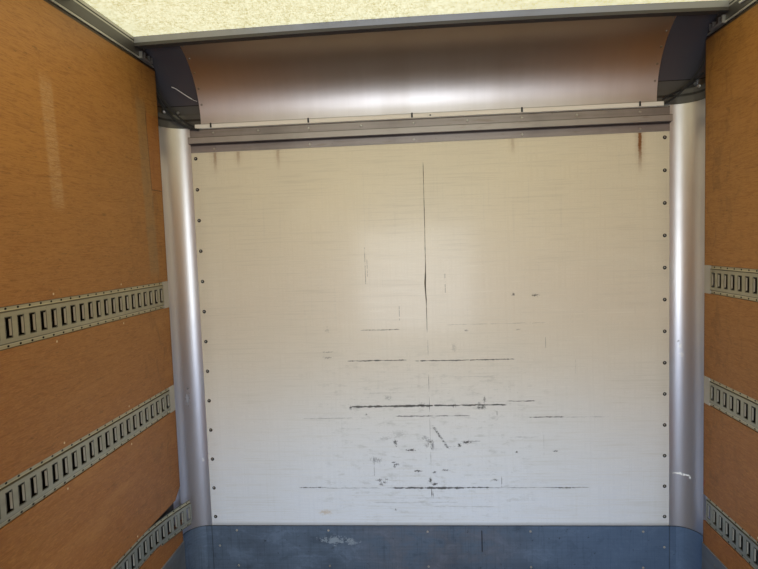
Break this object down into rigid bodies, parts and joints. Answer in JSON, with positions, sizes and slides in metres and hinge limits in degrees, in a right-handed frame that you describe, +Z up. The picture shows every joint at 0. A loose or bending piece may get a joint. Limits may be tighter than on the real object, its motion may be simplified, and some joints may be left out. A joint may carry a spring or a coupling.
{
  "type": "box truck cargo body",
  "caption": "Long dry-freight cargo body for a box truck: curved nose with corner caps, plywood-lined walls with tie rails, translucent roof and two rear swing doors.",
  "frame": {"origin": "middle of the whole body at the underside of its two long sills, where it lies on the chassis", "axes": "+X to the right-hand side of the vehicle, +Y to the front wall, +Z up"},
  "size_m": [2.751, 8.009, 2.835],
  "materials": {
    "sill_steel": "satin black paint, dusty",
    "frame_steel": "gloss white paint",
    "floor_wood": "worn hardwood",
    "wall_white": "gloss white prepainted sheet",
    "rail_aluminium": "mill finish",
    "bow_steel": "galvanised",
    "roof_fibreglass": "translucent glass-fibre sheet",
    "plywood": "varnished plywood",
    "scuff_steel": "scuffed galvanised sheet",
    "track_steel": "worn galvanised steel",
    "panel_white": "glossy white laminate with scuffs",
    "post_aluminium": "satin extrusion",
    "kick_steel": "scuffed dark blue-grey",
    "header_aluminium": "mill finish",
    "nose_aluminium": "brushed mill finish",
    "cap_plastic": "moulded charcoal",
    "clip_steel": "bright zinc",
    "door_white": "gloss white prepainted sheet",
    "hinge_steel": "galvanised",
    "lock_steel": "galvanised",
    "bumper_rubber": "moulded black rubber",
    "lamp_red": "red lens",
    "lamp_amber": "amber lens",
    "loom_black": "black sleeve"
  },
  "bodies": {
    "cargo_body": {"bottom_rail_left": "rail_aluminium", "bottom_rail_right": "rail_aluminium", "corner_post_left": "post_aluminium", "corner_post_right": "post_aluminium", "cross_members": "sill_steel", "dock_bumpers": "bumper_rubber", "floor_boards": "floor_wood", "front_bottom_rail": "rail_aluminium", "front_lamps": "lamp_amber", "front_panel": "panel_white", "front_wall": "wall_white", "header_rail": "header_aluminium", "hinge_butts_left": "hinge_steel", "hinge_butts_right": "hinge_steel", "keepers": "lock_steel", "kick_plates": "kick_steel", "long_sill_left": "sill_steel", "long_sill_right": "sill_steel", "nose_cap_left": "cap_plastic", "nose_cap_right": "cap_plastic", "nose_panel": "nose_aluminium", "rail_clips_left": "clip_steel", "rail_clips_right": "clip_steel", "rear_header": "frame_steel", "rear_lamps": "lamp_red", "rear_post_left": "frame_steel", "rear_post_right": "frame_steel", "rear_sill": "frame_steel", "roof_bows": "bow_steel", "roof_front_rail": "rail_aluminium", "roof_sheet": "roof_fibreglass", "scuff_plate_left": "scuff_steel", "scuff_plate_right": "scuff_steel", "side_lining_left": "plywood", "side_lining_right": "plywood", "side_wall_left": "wall_white", "side_wall_right": "wall_white", "tie_rails_left": "track_steel", "tie_rails_right": "track_steel", "top_rail_left": "rail_aluminium", "top_rail_right": "rail_aluminium", "wiring_loom_left": "loom_black", "wiring_loom_right": "loom_black"},
    "rear_door_left": {"rear_door_left": "door_white", "hinge_straps_left": "hinge_steel", "lock_rod_left": "lock_steel"},
    "rear_door_right": {"rear_door_right": "door_white", "hinge_straps_right": "hinge_steel", "lock_rod_right": "lock_steel"}
  },
  "joints": [
    {"name": "rear_door_left_hinge", "type": "hinge", "parent": "cargo_body", "child": "rear_door_left", "pos_m": [-1.3075, -3.9945, 1.4], "axis": [0, 0, 1], "range_deg": [0, 270]},
    {"name": "rear_door_right_hinge", "type": "hinge", "parent": "cargo_body", "child": "rear_door_right", "pos_m": [1.3075, -3.9945, 1.4], "axis": [0, 0, -1], "range_deg": [0, 270]}
  ]
}
